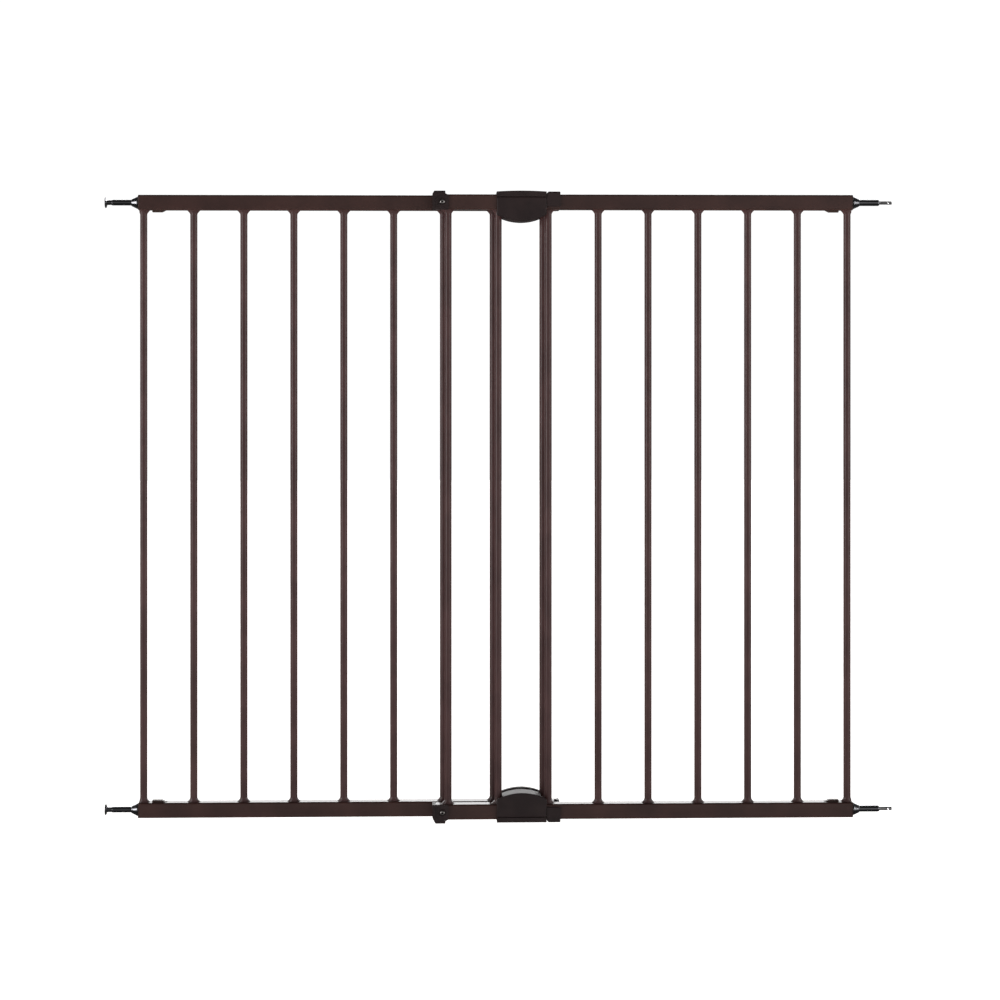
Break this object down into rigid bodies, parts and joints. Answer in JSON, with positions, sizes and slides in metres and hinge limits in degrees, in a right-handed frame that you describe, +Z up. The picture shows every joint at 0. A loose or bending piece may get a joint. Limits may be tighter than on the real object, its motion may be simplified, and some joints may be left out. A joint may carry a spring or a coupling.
{
  "type": "safety baby gate",
  "caption": "Barred metal safety gate of two sliding panels, with clamp brackets, half-moon couplers, hinge spindles on one side and flanged latch spindles on the other.",
  "frame": {"origin": "middle of the lower hinge pin's tip face", "axes": "+X from the latch side to the hinge side, +Y towards the back panel, +Z up"},
  "size_m": [1.144, 0.0531, 0.914],
  "materials": {
    "rail_powder_coat": "fine satin powder coat, dark bronze",
    "bar_powder_coat": "satin powder coat, dark bronze",
    "black_nylon": "moulded, fine spark texture",
    "plug_plastic": "moulded",
    "black_spindle_steel": "turned, glossy black plating",
    "zinc_steel": "bright zinc plating"
  },
  "bodies": {
    "front_panel": {"front_rail_top": "rail_powder_coat", "front_rail_bottom": "rail_powder_coat", "front_bar_1": "bar_powder_coat", "front_bar_2": "bar_powder_coat", "front_bar_3": "bar_powder_coat", "front_bar_4": "bar_powder_coat", "front_bar_5": "bar_powder_coat", "front_bar_6": "bar_powder_coat", "front_bar_7": "bar_powder_coat", "front_bar_8": "bar_powder_coat", "front_bar_9": "bar_powder_coat", "hinge_end_plug_top": "plug_plastic", "hinge_end_plug_bottom": "plug_plastic", "clamp_bracket_top": "black_nylon", "clamp_bracket_bottom": "black_nylon", "clamp_weld_nut_top": "zinc_steel", "clamp_weld_nut_bottom": "zinc_steel", "coupler_front_shell_top": "black_nylon", "coupler_front_shell_bottom": "black_nylon", "coupler_rear_shell_top": "black_nylon", "coupler_rear_shell_bottom": "black_nylon", "coupler_screw_left_top": "zinc_steel", "coupler_screw_right_top": "zinc_steel", "coupler_screw_left_bottom": "zinc_steel", "coupler_screw_right_bottom": "zinc_steel"},
    "back_panel": {"back_rail_top": "rail_powder_coat", "back_rail_bottom": "rail_powder_coat", "back_bar_1": "bar_powder_coat", "back_bar_2": "bar_powder_coat", "back_bar_3": "bar_powder_coat", "back_bar_4": "bar_powder_coat", "back_bar_5": "bar_powder_coat", "back_bar_6": "bar_powder_coat", "back_bar_7": "bar_powder_coat", "back_bar_8": "bar_powder_coat", "back_bar_9": "bar_powder_coat", "latch_end_plug_top": "plug_plastic", "latch_end_plug_bottom": "plug_plastic", "end_sleeve_top": "black_nylon", "end_sleeve_bottom": "black_nylon", "sleeve_screw_top": "zinc_steel", "sleeve_screw_bottom": "zinc_steel"},
    "hinge_nut_top": {"hinge_nut_top": "black_spindle_steel"},
    "hinge_spindle_top": {"hinge_spindle_top": "black_spindle_steel"},
    "hinge_nut_bottom": {"hinge_nut_bottom": "black_spindle_steel"},
    "hinge_spindle_bottom": {"hinge_spindle_bottom": "black_spindle_steel"},
    "latch_nut_top": {"latch_nut_top": "black_spindle_steel"},
    "latch_spindle_top": {"latch_spindle_top": "black_spindle_steel"},
    "latch_nut_bottom": {"latch_nut_bottom": "black_spindle_steel"},
    "latch_spindle_bottom": {"latch_spindle_bottom": "black_spindle_steel"},
    "clamp_plunger_top": {"clamp_plunger_top": "plug_plastic"},
    "clamp_screw_top": {"clamp_screw_top": "zinc_steel"},
    "clamp_plunger_bottom": {"clamp_plunger_bottom": "plug_plastic"},
    "clamp_screw_bottom": {"clamp_screw_bottom": "zinc_steel"}
  },
  "joints": [
    {"name": "panel_slide", "type": "slide", "parent": "front_panel", "child": "back_panel", "axis": [1, 0, 0], "range_m": [0, 0.42]},
    {"name": "hinge_spindle_top_slide", "type": "slide", "parent": "front_panel", "child": "hinge_spindle_top", "axis": [1, 0, 0], "range_m": [-0.01, 0.01]},
    {"name": "hinge_nut_top_turn", "type": "hinge", "parent": "front_panel", "child": "hinge_nut_top", "pos_m": [-0.0528, 0, 0.882], "axis": [1, 0, 0], "range_deg": [-1805, 1805]},
    {"name": "hinge_spindle_bottom_slide", "type": "slide", "parent": "front_panel", "child": "hinge_spindle_bottom", "axis": [1, 0, 0], "range_m": [-0.01, 0.01]},
    {"name": "hinge_nut_bottom_turn", "type": "hinge", "parent": "front_panel", "child": "hinge_nut_bottom", "pos_m": [-0.0528, 0, 0], "axis": [1, 0, 0], "range_deg": [-1805, 1805]},
    {"name": "latch_spindle_top_slide", "type": "slide", "parent": "back_panel", "child": "latch_spindle_top", "axis": [-1, 0, 0], "range_m": [-0.01, 0.01]},
    {"name": "latch_nut_top_turn", "type": "hinge", "parent": "back_panel", "child": "latch_nut_top", "pos_m": [-1.1009, 0.023, 0.882], "axis": [-1, 0, 0], "range_deg": [-1805, 1805]},
    {"name": "latch_spindle_bottom_slide", "type": "slide", "parent": "back_panel", "child": "latch_spindle_bottom", "axis": [-1, 0, 0], "range_m": [-0.01, 0.01]},
    {"name": "latch_nut_bottom_turn", "type": "hinge", "parent": "back_panel", "child": "latch_nut_bottom", "pos_m": [-1.1009, 0.023, 0], "axis": [-1, 0, 0], "range_deg": [-1805, 1805]},
    {"name": "clamp_plunger_top_slide", "type": "slide", "parent": "front_panel", "child": "clamp_plunger_top", "axis": [0, 1, 0], "range_m": [-0.0014, 0]},
    {"name": "clamp_screw_top_turn", "type": "hinge", "parent": "clamp_plunger_top", "child": "clamp_screw_top", "pos_m": [-0.6544, 0, 0.882], "axis": [0, 1, 0], "range_deg": [-725, 0]},
    {"name": "clamp_plunger_bottom_slide", "type": "slide", "parent": "front_panel", "child": "clamp_plunger_bottom", "axis": [0, 1, 0], "range_m": [-0.0014, 0]},
    {"name": "clamp_screw_bottom_turn", "type": "hinge", "parent": "clamp_plunger_bottom", "child": "clamp_screw_bottom", "pos_m": [-0.6544, 0, 0], "axis": [0, 1, 0], "range_deg": [-725, 0]}
  ],
  "couplings": [
    {"joint": "hinge_nut_top_turn", "follows": "hinge_spindle_top_slide", "rad_per_m": -3141.6},
    {"joint": "hinge_nut_bottom_turn", "follows": "hinge_spindle_bottom_slide", "rad_per_m": -3141.6},
    {"joint": "latch_nut_top_turn", "follows": "latch_spindle_top_slide", "rad_per_m": -3141.6},
    {"joint": "latch_nut_bottom_turn", "follows": "latch_spindle_bottom_slide", "rad_per_m": -3141.6},
    {"joint": "clamp_screw_top_turn", "follows": "clamp_plunger_top_slide", "rad_per_m": 8976},
    {"joint": "clamp_screw_bottom_turn", "follows": "clamp_plunger_bottom_slide", "rad_per_m": 8976}
  ]
}
